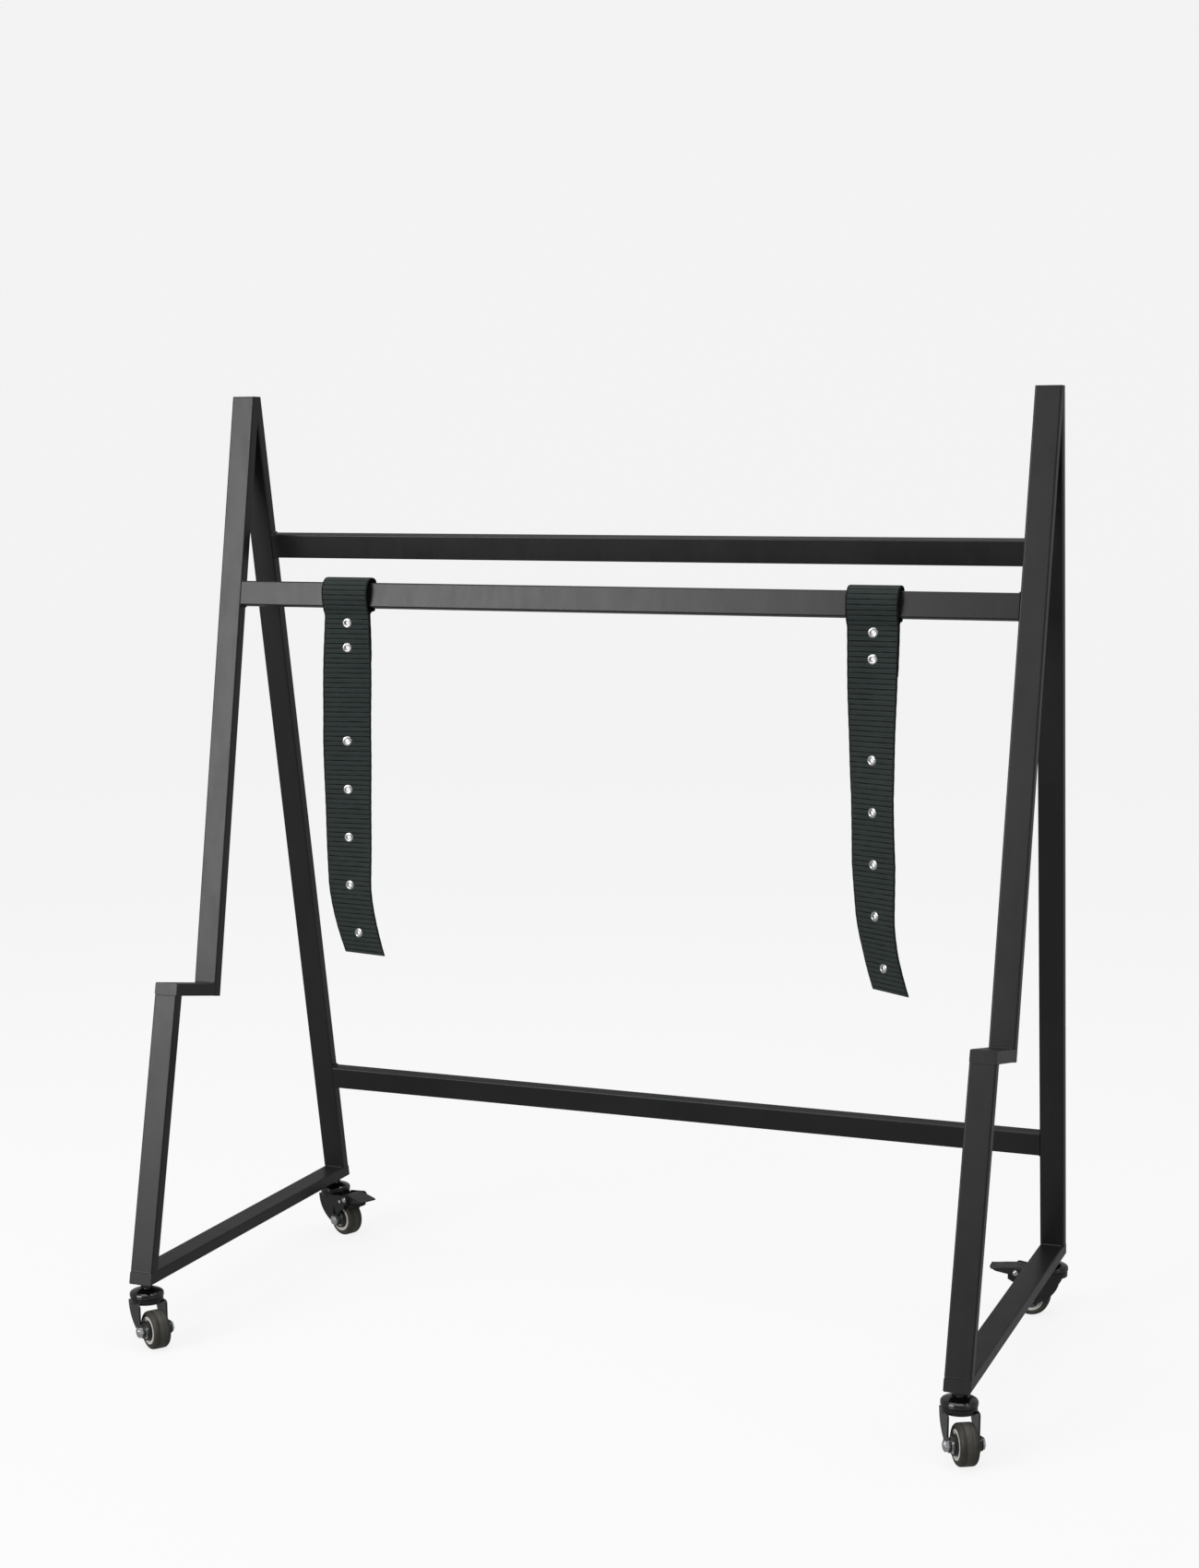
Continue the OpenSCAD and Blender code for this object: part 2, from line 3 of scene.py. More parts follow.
import bmesh
import bpy
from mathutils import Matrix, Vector


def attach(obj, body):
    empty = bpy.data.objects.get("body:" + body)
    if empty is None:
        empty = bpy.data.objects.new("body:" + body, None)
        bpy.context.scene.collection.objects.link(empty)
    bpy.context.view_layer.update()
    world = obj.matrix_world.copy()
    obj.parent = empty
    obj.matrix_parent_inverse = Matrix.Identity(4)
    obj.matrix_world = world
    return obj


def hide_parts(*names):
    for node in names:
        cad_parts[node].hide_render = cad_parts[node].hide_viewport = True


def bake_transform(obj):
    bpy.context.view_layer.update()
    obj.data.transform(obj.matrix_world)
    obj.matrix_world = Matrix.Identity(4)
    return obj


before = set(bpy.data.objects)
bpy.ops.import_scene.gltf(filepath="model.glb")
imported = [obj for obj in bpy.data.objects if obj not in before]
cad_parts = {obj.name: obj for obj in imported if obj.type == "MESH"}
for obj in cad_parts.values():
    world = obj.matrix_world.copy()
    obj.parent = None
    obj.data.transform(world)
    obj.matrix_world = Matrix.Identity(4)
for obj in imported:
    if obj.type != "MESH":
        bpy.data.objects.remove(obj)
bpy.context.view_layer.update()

MM = 0.001

# Sizes repeated from the CAD source, in millimetres and degrees
OVERALL_W, BASE_D, FRAME_H, TOP_D = 1382, 704, 1411, 24.5
TUBE_W, TUBE_T = 40, 20
LEAN_LOWER, LEAN_UPPER = 13.4, 10.9
LEDGE_H, LEDGE_D = 476.5, 125.5
FRONT_BAR_H, REAR_UPPER_BAR_H, REAR_LOWER_BAR_H = 1092, 1165, 199
STRAP_W, STRAP_T, STRAP_DROP, STRAP_RETURN = 82, 2.4, 560, 74
STRAP_X = {"left": -453, "right": 431}
EYELET_OD, EYELET_HOLE = 16, 8
WHEEL_D, WHEEL_W, CASTER_H, TRAIL = 63, 29, 103, 32
CASTER_ANGLE = {"front_left": -35, "front_right": -60, "rear_left": -25, "rear_right": 182}
FRONT_Y = -336
FRAME_X = OVERALL_W / 2 - TUBE_W / 2
INNER_W = OVERALL_W - 2 * TUBE_W
STEM_INSET = 20
AXLE_Z = WHEEL_D / 2 - CASTER_H
RING_R = 22.5


def tan(degrees):
    return math.tan(math.radians(degrees))


def cos(degrees):
    return math.cos(math.radians(degrees))


def sin(degrees):
    return math.sin(math.radians(degrees))


LEDGE_Y = tan(LEAN_LOWER) * LEDGE_H
LEG_START = LEDGE_D * cos(LEAN_UPPER)
TOP_FRONT_Y = LEDGE_Y + LEDGE_D + tan(LEAN_UPPER) * (FRAME_H - LEDGE_H)
LEAN_REAR = math.degrees(math.atan((BASE_D - TOP_FRONT_Y - TOP_D) / FRAME_H))
FRONT_BAR_Y = FRONT_Y + LEDGE_Y + LEDGE_D + tan(LEAN_UPPER) * (FRONT_BAR_H - LEDGE_H)
# The line under the bar where each strap's loop closes and its hanging end swings
PINCH_Y = FRONT_BAR_Y - 2.5
PINCH_Z = CASTER_H + FRONT_BAR_H - 34


# ---- Camera, in metres and degrees ----

cam_data = bpy.data.cameras.new("camera")
cam_data.lens = 57.3
cam_data.sensor_width = 36
cam_data.shift_y = 0.116
cam_data.clip_end = 200
cam = bpy.data.objects.new("camera", cam_data)
cam.location = (1.4259, -3.6549, 1.3827)
cam.rotation_euler = (math.radians(90 - 11.087), math.radians(0.07), math.radians(21.365))
bpy.context.scene.collection.objects.link(cam)
bpy.context.scene.camera = cam


# ---- Materials ----

# Distance between the webbing's ribs, in mm
RIB_PITCH = 4.0
# The colour sockets of the Mix node, whose names repeat for each data type
MIX_A, MIX_B, MIX_RESULT = 6, 7, 2
WORN_EDGE = 0.9 * MM
COAT_ROUGHNESS = 0.12
SMOOTHEST = 0.05


class Nodes:
    """A material's node tree, with short calls for the nodes that the finishes share."""

    def __init__(self, name, base, rough, metallic=0.0):
        self.material = bpy.data.materials.new(name)
        self.material.use_nodes = True
        self.material.diffuse_color = (*base, 1)
        self.tree = self.material.node_tree
        self.bsdf = self.tree.nodes["Principled BSDF"]
        self.bsdf.inputs["Base Color"].default_value = (*base, 1)
        self.bsdf.inputs["Roughness"].default_value = rough
        self.bsdf.inputs["Metallic"].default_value = metallic
        self.where = self.tree.nodes.new("ShaderNodeTexCoord").outputs["Object"]

    def link(self, a, b):
        self.tree.links.new(a, b)

    def node(self, kind, **settings):
        n = self.tree.nodes.new(kind)
        for key, value in settings.items():
            setattr(n, key, value)
        return n

    def stretched(self, x, y, z, source=None):
        """Coordinates scaled by axis."""
        n = self.node("ShaderNodeMapping")
        n.inputs["Scale"].default_value = (x, y, z)
        self.link(source or self.where, n.inputs["Vector"])
        return n.outputs["Vector"]

    def noise(self, scale, detail=3.0, rough=0.5, source=None):
        n = self.node("ShaderNodeTexNoise")
        n.inputs["Scale"].default_value = scale
        n.inputs["Detail"].default_value = detail
        n.inputs["Roughness"].default_value = rough
        self.link(source or self.where, n.inputs["Vector"])
        return n.outputs["Fac"]

    def ranged(self, value, low, high, to_low=0.0, to_high=1.0):
        """A value from low to high spread over to_low to to_high, and clamped."""
        n = self.node("ShaderNodeMapRange")
        n.inputs["From Min"].default_value = low
        n.inputs["From Max"].default_value = high
        n.inputs["To Min"].default_value = to_low
        n.inputs["To Max"].default_value = to_high
        self.link(value, n.inputs["Value"])
        return n.outputs["Result"]

    def math(self, operation, a, b=None):
        n = self.node("ShaderNodeMath", operation=operation)
        for i, value in enumerate((a, b)):
            if value is None:
                continue
            if isinstance(value, (int, float)):
                n.inputs[i].default_value = value
            else:
                self.link(value, n.inputs[i])
        return n.outputs["Value"]

    def mix(self, factor, a, b):
        """Colour a where the factor is 0, and b where it is 1."""
        n = self.node("ShaderNodeMix", data_type="RGBA")
        self.link(factor, n.inputs["Factor"])
        for value, index in ((a, MIX_A), (b, MIX_B)):
            if isinstance(value, tuple):
                n.inputs[index].default_value = (*value, 1)
            else:
                self.link(value, n.inputs[index])
        return n.outputs[MIX_RESULT]

    def edges(self, radius):
        """1 on convex and concave edges within that radius, 0 on flat faces."""
        bevel = self.node("ShaderNodeBevel", samples=4)
        bevel.inputs["Radius"].default_value = radius
        geometry = self.node("ShaderNodeNewGeometry")
        dot = self.node("ShaderNodeVectorMath", operation="DOT_PRODUCT")
        self.link(bevel.outputs["Normal"], dot.inputs[0])
        self.link(geometry.outputs["Normal"], dot.inputs[1])
        return self.ranged(dot.outputs["Value"], 0.97, 0.85), bevel.outputs["Normal"]

    def bump(self, height, strength, distance, normal=None):
        """Relief of that distance in metres, on top of another normal where one is given."""
        n = self.node("ShaderNodeBump")
        n.inputs["Strength"].default_value = strength
        n.inputs["Distance"].default_value = distance
        self.link(height, n.inputs["Height"])
        if normal is not None:
            self.link(normal, n.inputs["Normal"])
        self.link(n.outputs["Normal"], self.bsdf.inputs["Normal"])

    def colour(self, value):
        self.link(value, self.bsdf.inputs["Base Color"])

    def roughness(self, value):
        self.link(value, self.bsdf.inputs["Roughness"])


def hard_finish(name, dark, light, worn, rough, metallic=0.0, grain=900.0, depth=0.00006,
                wear=0.5, spread=0.12, coat=0.0):
    """A hard surface: cloudy colour, fine grain, faint scuffs, and worn edges."""
    m = Nodes(name, dark, rough, metallic)
    cloud = m.noise(9.0, 4.0, 0.6)
    fine = m.noise(grain, 2.0, 0.5)
    scuffs = m.noise(55.0, 6.0, 0.7, m.stretched(1.0, 1.0, 0.22))
    edge_mask, rounded = m.edges(WORN_EDGE)
    patchy = m.ranged(m.noise(140.0, 4.0, 0.7), 0.42, 0.62)
    worn_mask = m.math("MULTIPLY", m.math("MULTIPLY", edge_mask, patchy), wear)
    base = m.mix(m.ranged(cloud, 0.35, 0.7), dark, light)
    scuff_mask = m.ranged(scuffs, 0.62, 0.8, 0.0, 0.35)
    base = m.mix(scuff_mask, base, worn)
    m.colour(m.mix(worn_mask, base, worn))
    m.roughness(m.ranged(scuffs, 0.3, 0.75, max(rough - spread, SMOOTHEST), rough + spread))
    m.bump(m.math("ADD", fine, m.math("MULTIPLY", scuffs, 0.6)), 0.5, depth, rounded)
    if coat:
        m.bsdf.inputs["Coat Weight"].default_value = coat
        m.bsdf.inputs["Coat Roughness"].default_value = COAT_ROUGHNESS
    return m.material


PAINT = hard_finish("powder_coat", (0.011, 0.011, 0.012), (0.017, 0.017, 0.018),
                    (0.045, 0.044, 0.043), 0.36, grain=1100.0, wear=0.7, spread=0.04)
FORK_PAINT = hard_finish("fork_enamel", (0.006, 0.006, 0.007), (0.011, 0.011, 0.011),
                         (0.09, 0.088, 0.085), 0.26, grain=500.0, depth=0.00004, coat=0.3)
CAP_PAINT = hard_finish("cap_enamel", (0.004, 0.004, 0.005), (0.008, 0.008, 0.008),
                        (0.07, 0.07, 0.07), 0.16, grain=300.0, depth=0.00002, coat=0.8, wear=0.3)
ZINC = hard_finish("zinc_plate", (0.72, 0.73, 0.75), (0.86, 0.86, 0.87), (0.92, 0.91, 0.9),
                   0.27, metallic=1.0, grain=1500.0, depth=0.00003)
BLACK_OXIDE = hard_finish("black_oxide", (0.05, 0.05, 0.052), (0.09, 0.09, 0.092),
                          (0.5, 0.5, 0.5), 0.3, metallic=1.0, grain=1500.0, depth=0.00003)
NICKEL = hard_finish("nickel_eyelet", (0.82, 0.82, 0.81), (0.92, 0.92, 0.91), (0.95, 0.95, 0.94),
                     0.22, metallic=1.0, grain=1800.0, depth=0.00002)
RIM_PLASTIC = hard_finish("rim_plastic", (0.01, 0.01, 0.01), (0.016, 0.016, 0.015),
                          (0.05, 0.05, 0.048), 0.45, grain=1200.0)
IVORY = hard_finish("ivory_plastic", (0.82, 0.8, 0.75), (0.88, 0.86, 0.81), (0.6, 0.56, 0.48),
                    0.4, grain=900.0, wear=0.25)
PEDAL_PLASTIC = hard_finish("pedal_plastic", (0.018, 0.018, 0.019), (0.03, 0.03, 0.031),
                            (0.1, 0.1, 0.1), 0.38, grain=1400.0, depth=0.00008)
RUBBER_PAD = hard_finish("pad_rubber", (0.012, 0.012, 0.011), (0.02, 0.02, 0.019),
                         (0.05, 0.048, 0.045), 0.75, grain=1600.0, depth=0.0001)


def tyre_rubber():
    """Rubber with a scuffed, paler running band and dusty specks. The UV map's y goes from 0 to
    1 across the tyre."""
    m = Nodes("tyre_rubber", (0.05, 0.047, 0.038), 0.6)
    uv = m.node("ShaderNodeUVMap", uv_map="across").outputs["UV"]
    split = m.node("ShaderNodeSeparateXYZ")
    m.link(uv, split.inputs[0])
    away = m.math("ABSOLUTE", m.math("SUBTRACT", split.outputs["Y"], 0.5))
    band = m.ranged(away, 0.27, 0.12)
    cloud = m.noise(60.0, 5.0, 0.65)
    speck = m.ranged(m.noise(900.0, 2.0, 0.5), 0.66, 0.74, 0.0, 0.5)
    base = m.mix(m.ranged(cloud, 0.35, 0.68), (0.036, 0.034, 0.027), (0.06, 0.057, 0.046))
    worn = m.math("MULTIPLY", band, m.ranged(m.noise(220.0, 5.0, 0.7), 0.3, 0.7, 0.35, 1.0))
    base = m.mix(worn, base, (0.098, 0.093, 0.077))
    m.colour(m.mix(speck, base, (0.16, 0.15, 0.13)))
    m.roughness(m.ranged(cloud, 0.3, 0.7, 0.45, 0.68))
    m.bump(m.math("ADD", m.noise(1300.0, 2.0, 0.6), m.noise(260.0, 3.0, 0.6)), 0.6, 0.00012)
    return m.material


def webbing_weave():
    """Ribbed webbing; the UV map holds metres across and along the strap."""
    m = Nodes("webbing_weave", (0.02, 0.024, 0.023), 0.82)
    uv = m.node("ShaderNodeUVMap", uv_map="webbing").outputs["UV"]
    split = m.node("ShaderNodeSeparateXYZ")
    m.link(uv, split.inputs[0])
    across, along = split.outputs["X"], split.outputs["Y"]
    rib_pitch, yarn_pitch, deep_pitch = RIB_PITCH * MM, 0.0018, 2 * RIB_PITCH * MM
    rib = m.math("SINE", m.math("MULTIPLY", along, 2 * math.pi / rib_pitch))
    yarn = m.math("SINE", m.math("MULTIPLY", across, 2 * math.pi / yarn_pitch))
    cross = m.math("MULTIPLY", rib, yarn)
    crest = m.math("COSINE", m.math("MULTIPLY", along, 2 * math.pi / rib_pitch))
    deep = m.math("SINE", m.math("MULTIPLY", along, 2 * math.pi / deep_pitch))
    streak = m.noise(1.0, 3.0, 0.6, m.stretched(35.0, 420.0, 1.0, uv))
    dust = m.noise(30.0, 5.0, 0.65)
    selvedge = m.ranged(m.math("ABSOLUTE", across), 0.0375, 0.0392)
    base = m.mix(m.ranged(dust, 0.3, 0.7), (0.029, 0.0395, 0.037), (0.0395, 0.052, 0.049))
    base = m.mix(m.ranged(cross, -1.0, 1.0, 0.0, 0.35), base, (0.042, 0.056, 0.052))
    # Painted highlight: the rib crests are painted lighter where the ribs bulge, more where the
    # streak noise is high.
    lit = m.math("MULTIPLY", m.ranged(crest, 0.4, 1.0), m.ranged(streak, 0.4, 0.62, 0.05, 0.45))
    base = m.mix(lit, base, (0.07, 0.09, 0.084))
    # Painted shade: every other groove between the ribs is painted near black, more where the
    # streak noise is low.
    deepest = m.ranged(deep, -0.55, -0.9)
    groove_shade = m.math("MULTIPLY", deepest, m.ranged(streak, 0.66, 0.42, 0.3, 1.0))
    base = m.mix(groove_shade, base, (0.001, 0.0014, 0.0013))
    m.colour(m.mix(selvedge, base, (0.006, 0.0065, 0.0065)))
    m.roughness(m.ranged(streak, 0.3, 0.7, 0.7, 0.92))
    m.bsdf.inputs["Specular IOR Level"].default_value = 0.2
    m.bsdf.inputs["Sheen Weight"].default_value = 0.05
    m.bsdf.inputs["Sheen Roughness"].default_value = 0.5
    m.bump(m.math("ADD", cross, m.math("MULTIPLY", streak, 0.8)), 0.7, 0.00022)
    return m.material


TYRE_RUBBER = tyre_rubber()
WEBBING = webbing_weave()

FINISH_OF = [
    ("strap", WEBBING), ("brake_pin", ZINC), ("brake_shoe", RUBBER_PAD),
    ("brake_pedal", PEDAL_PLASTIC), ("weld_nuts", ZINC), ("jam_nuts", BLACK_OXIDE), ("stems", ZINC),
    ("swivel_caps", CAP_PAINT), ("swivel_balls", ZINC), ("fork", FORK_PAINT), ("axle", ZINC),
    ("tyre", TYRE_RUBBER), ("side_rings", IVORY), ("bearings", ZINC), ("rim", RIM_PLASTIC),
]


def finish_nodes():
    """Gives every CAD node the finish of the first name in FINISH_OF that it holds, or paint."""
    for name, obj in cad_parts.items():
        finish = next((m for part, m in FINISH_OF if part in name), PAINT)
        if not obj.material_slots:
            obj.data.materials.append(finish)
        for slot in obj.material_slots:
            slot.material = finish


# ---- Mesh building ----

def new_object(name, mesh, material, body=None):
    """A piece with its material and slot, riding on a body where one is given."""
    obj = bpy.data.objects.new(name, mesh)
    bpy.context.scene.collection.objects.link(obj)
    mesh.materials.clear()
    mesh.materials.append(material)
    if body:
        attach(obj, body)
    return obj


def ring_mesh(name, rings, closed_path=False, skip=(), walls=()):
    """A mesh through rings of points, all of the same count, without the cells in skip (ring,
    place in the ring) and with the extra faces in walls."""
    mesh = bpy.data.meshes.new(name)
    count = len(rings[0])
    points = [p for ring in rings for p in ring]
    faces = []
    last = len(rings) if closed_path else len(rings) - 1
    for i in range(last):
        j = (i + 1) % len(rings)
        for k in range(count):
            k2 = (k + 1) % count
            if (i, k) not in skip:
                faces.append((i * count + k, j * count + k, j * count + k2, i * count + k2))
    faces.extend(walls)
    if not closed_path:
        faces.append(tuple(range(count)))
        faces.append(tuple(range(len(points) - 1, len(points) - 1 - count, -1)))
    mesh.from_pydata(points, [], faces)
    bm = bmesh.new()
    bm.from_mesh(mesh)
    bmesh.ops.recalc_face_normals(bm, faces=bm.faces)
    for face in bm.faces:
        face.smooth = True
    bm.to_mesh(mesh)
    bm.free()
    return mesh


def joined(name, meshes):
    """One mesh from several, which are removed."""
    bm = bmesh.new()
    for mesh in meshes:
        bm.from_mesh(mesh)
    out = bpy.data.meshes.new(name)
    bm.to_mesh(out)
    bm.free()
    for mesh in meshes:
        bpy.data.meshes.remove(mesh)
    return out


def revolved(name, profile, centre, axis, steps):
    """A closed profile of (radius, height) points turned round an axis through a centre."""
    axis = axis.normalized()
    side = axis.orthogonal().normalized()
    other = axis.cross(side)
    rings = []
    for i in range(steps):
        a = 2 * math.pi * i / steps
        out = side * math.cos(a) + other * math.sin(a)
        rings.append([centre + out * r + axis * h for r, h in profile])
    return ring_mesh(name, rings, closed_path=True)


# ---- Casters ----

def stem_point(place):
    """Where a caster's stem meets the underside of its rail."""
    x = -FRAME_X if "left" in place else FRAME_X
    y = FRONT_Y + (STEM_INSET if "front" in place else BASE_D - STEM_INSET)
    return Vector((x, y, CASTER_H)) * MM


def axle_line(place):
    """The wheel's middle and the direction across the fork."""
    a = math.radians(CASTER_ANGLE[place])
    along = Vector((math.cos(a), math.sin(a), 0))
    across = Vector((-math.sin(a), math.cos(a), 0))
    return stem_point(place) + along * TRAIL * MM + Vector((0, 0, AXLE_Z)) * MM, across


def tyre_profile():
    """Half sections of the tyre in mm: crowned tread, round shoulders, a lip beside each ring."""
    half, outer, inner, shoulder = WHEEL_W / 2, WHEEL_D / 2, RING_R, 6.4
    side = [(inner, half - 2.2), (inner + 0.4, half - 1.5), (inner + 1.1, half - 1.15),
            (inner + 1.7, half - 0.9), (inner + 2.3, half - 0.15), (outer - shoulder, half)]
    arc = []
    for i in range(1, 9):
        a = math.radians(90 - 90 * i / 9)
        arc.append((outer - shoulder + shoulder * math.cos(a) - 0.08,
                    half - shoulder + shoulder * math.sin(a)))
    tread = [(outer - 0.04, 5.2), (outer - 0.35, 4.9), (outer - 0.35, 4.5), (outer - 0.02, 4.2),
             (outer, 1.6), (outer, 0.25)]
    top = side + arc + tread
    return top + [(r, -h) for r, h in reversed(top)]


def add_tyre(place):
    """A moulded tyre in place of the CAD's."""
    centre, across = axle_line(place)
    profile = [(r * MM, h * MM) for r, h in tyre_profile()]
    mesh = revolved(place + "_tyre_moulded", profile, centre, across, 128)
    layer = mesh.uv_layers.new(name="across")
    for loop in mesh.loops:
        h = (mesh.vertices[loop.vertex_index].co - centre).dot(across)
        layer.data[loop.index].uv = (0.0, h / (WHEEL_W * MM) + 0.5)
    obj = new_object(place + "_tyre_moulded", mesh, TYRE_RUBBER, place + "_wheel")
    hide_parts(place + "_tyre")


# ---- Weld beads ----

GROUND_R, GROUND_SUNK = 2.2, 1.97
CORNER_BEAD_R, CROSSBAR_BEAD_R = 2.3, 1.9
CORNER_BEAD_INSET = 2.2


def bead_mesh(name, path, radius, seed, ripples=0.13):
    """A weld bead along a path in mm, rippled, or ground smooth where ripples is 0."""
    points = [Vector(p) for p in path]
    length = sum((b - a).length for a, b in zip(points, points[1:]))
    step = 0.55
    count = max(4, int(length / step))
    rings = []
    for i in range(count + 1):
        s = length * i / count
        run = s
        for a, b in zip(points, points[1:]):
            d = (b - a).length
            if run <= d or b is points[-1]:
                at = a + (b - a) * min(run / d, 1)
                along = (b - a).normalized()
                break
            run -= d
        side = along.orthogonal().normalized()
        other = along.cross(side)
        ripple = 1 + ripples * (math.cos(2 * math.pi * s / 2.3) + 0.5 * math.sin(s * 0.61 + seed))
        taper = min(1, 0.35 + min(s, length - s) / 2.4)
        r = radius * ripple * taper
        rings.append([(at + side * r * math.cos(a) + other * r * math.sin(a)) * MM
                      for a in (2 * math.pi * k / 12 for k in range(12))])
    return ring_mesh(name, rings)


def ground_seam(x, y0, z0, y1, z1):
    """Path round a tube's foot, sunk so that a ground seam stands a quarter of a mm proud."""
    half = TUBE_W / 2 - GROUND_SUNK
    run = math.hypot(y1 - y0, z1 - z0)
    dy, dz = (y1 - y0) / run * GROUND_SUNK, (z1 - z0) / run * GROUND_SUNK
    ring = [(-half, y0 + dy, z0 + dz), (half, y0 + dy, z0 + dz), (half, y1 - dy, z1 - dz),
            (-half, y1 - dy, z1 - dz), (-half, y0 + dy, z0 + dz)]
    return [(x + a, FRONT_Y + b, CASTER_H + h) for a, b, h in ring]


def side_frame_welds(side):
    """Beads across the tube in a side frame's corners, and ground seams round three feet."""
    x = -FRAME_X if side == "left" else FRAME_X
    s, c = sin(LEAN_UPPER), cos(LEAN_UPPER)
    under = (TUBE_T * s - TUBE_T * c * tan(LEAN_LOWER) + TUBE_T / cos(LEAN_LOWER)) / (
        c + tan(LEAN_LOWER) * s)

    def on_ledge(y, z):
        return LEDGE_Y + y * c + z * s, LEDGE_H - y * s + z * c

    front_back_y0 = LEDGE_Y + LEDGE_D + TUBE_T / c - tan(LEAN_UPPER) * LEDGE_H
    rear_front_y0 = BASE_D - TUBE_T / cos(LEAN_REAR)
    mitre_z = (rear_front_y0 - front_back_y0) / (tan(LEAN_UPPER) + tan(LEAN_REAR))
    corners = [
        (TUBE_T * tan(LEAN_LOWER) + TUBE_T / cos(LEAN_LOWER), TUBE_T),
        (BASE_D - TUBE_T * tan(LEAN_REAR) - TUBE_T / cos(LEAN_REAR), TUBE_T),
        on_ledge(under, -TUBE_T),
        on_ledge(LEG_START, 0),
        (front_back_y0 + tan(LEAN_UPPER) * mitre_z, mitre_z),
    ]
    half = TUBE_W / 2 - CORNER_BEAD_INSET
    meshes = []
    for i, (y, z) in enumerate(corners):
        path = [(x - half, FRONT_Y + y, CASTER_H + z), (x + half, FRONT_Y + y, CASTER_H + z)]
        meshes.append(bead_mesh("bead", path, CORNER_BEAD_R, i * 1.7))
    leg_across = TUBE_T / cos(LEAN_LOWER) / (c + tan(LEAN_LOWER) * s)
    feet = [
        [(TUBE_T * tan(LEAN_LOWER), TUBE_T), corners[0]],
        [corners[1], (BASE_D - TUBE_T * tan(LEAN_REAR), TUBE_T)],
        [on_ledge(under - leg_across, -TUBE_T), corners[2]],
    ]
    for (y0, z0), (y1, z1) in feet:
        meshes.append(bead_mesh("bead", ground_seam(x, y0, z0, y1, z1), GROUND_R, 0, 0))
    name = side + "_frame_welds"
    new_object(name, joined(name, meshes), PAINT, "frame")


def crossbar_welds(name, y, z, lean):
    """Beads round both ends of a crossbar, over its top, back and underside."""
    meshes = []
    for sign in (-1, 1):
        x = sign * (INNER_W / 2 - 0.3)
        h, d = TUBE_W / 2, TUBE_T
        section = [(1.5, -h), (d - 2, -h), (d - 0.6, -h + 0.6), (d, -h + 2), (d, h - 2),
                   (d - 0.6, h - 0.6), (d - 2, h), (1.5, h)]
        path = []
        for v, w in section:
            path.append((x, y + v * cos(lean) + w * sin(lean), z - v * sin(lean) + w * cos(lean)))
        meshes.append(bead_mesh("bead", path, CROSSBAR_BEAD_R, sign))
    name += "_welds"
    new_object(name, joined(name, meshes), PAINT, "frame")


# ---- Straps, in millimetres and degrees ----

SWAY_START = 440


def lookup(d, table):
    """The value at d in a table of (d, value) rows, straight between rows."""
    for (d0, a0), (d1, a1) in zip(table, table[1:]):
        if d <= d1:
            return a0 + (a1 - a0) * max(d - d0, 0) / (d1 - d0)
    return table[-1][1]


def sway(side, d):
    """How far a strap's hanging end drifts sideways at d below the pinch line."""
    low = (max(d - SWAY_START, 0) / (STRAP_DROP - SWAY_START)) ** 1.6
    if side == "left":
        return -5 * min(d / 200, 1) + 26 * low
    return 20 * (d / STRAP_DROP) ** 2 + 20 * low


# Rows of (distance below the pinch line, turn about the vertical)
TWIST = {
    "left": [(0, 0), (60, 8), (120, 12), (200, 12), (330, 4), (STRAP_DROP, -11)],
    "right": [(0, 0), (160, -15), (260, -23), (360, -21), (500, -33), (STRAP_DROP, -33)],
}
# Eyelets below the first one, and the first one below the pinch line
EYELET_ROW = [0, 40, 193, 273, 353, 433, 513]
EYELET_TOP = {"left": 12, "right": 9}
# Outside of the loop's section from the pinch line: forwards, up over the bar, and down behind it
LOOP_OUTLINE = [
    (-2.8, 4), (-5.4, 9), (-8, 18), (-9.8, 27), (-10.2, 36), (-8.6, 45), (-4.6, 53), (0.8, 58.2),
    (7.4, 61), (15, 61.4), (22.6, 59.4), (27.8, 55.2), (29.6, 50), (28.8, 42), (26.4, 28),
    (23.6, 12.6), (21.4, 7.4), (17, 6.4), (9, 5.4), (1.6, 4),
]
# Half the distance between the two layers' middles where the webbing is double
LAYER = 1.3
COLUMNS = 20
# Radius of each opening in the webbing, which the eyelet's flanges cover
OPENING_R = 5.6


def strap_line(side):
    """Points (x, y, z, twist) along the strap's middle in mm, from the hanging end to the short
    back layer's end."""
    x0 = STRAP_X[side]
    line = []

    def layer(d, offset):
        a = lookup(d, TWIST[side])
        return (x0 + sway(side, d) - offset * sin(a), PINCH_Y + offset * cos(a), PINCH_Z - d, a)

    steps = 56
    for i in range(steps):
        line.append(layer(STRAP_DROP - STRAP_DROP * i / steps, -LAYER))
    line.append((x0 - 0.3, PINCH_Y - LAYER, PINCH_Z + 1, 0))
    half = STRAP_T / 2
    count = len(LOOP_OUTLINE)
    for i in range(1, count - 1):
        (ya, za), (yb, zb) = LOOP_OUTLINE[i - 1], LOOP_OUTLINE[i + 1]
        span = math.hypot(yb - ya, zb - za)
        y, z = LOOP_OUTLINE[i]
        y += half * (zb - za) / span
        z -= half * (yb - ya) / span
        line.append((x0 - 1, PINCH_Y + y, PINCH_Z + z, 0))
    line.append((x0 - 0.3, PINCH_Y + LAYER + 0.6, PINCH_Z + 1.5, 0))
    for i in range(1, 9):
        line.append(layer(STRAP_RETURN * i / 8, LAYER))
    return line


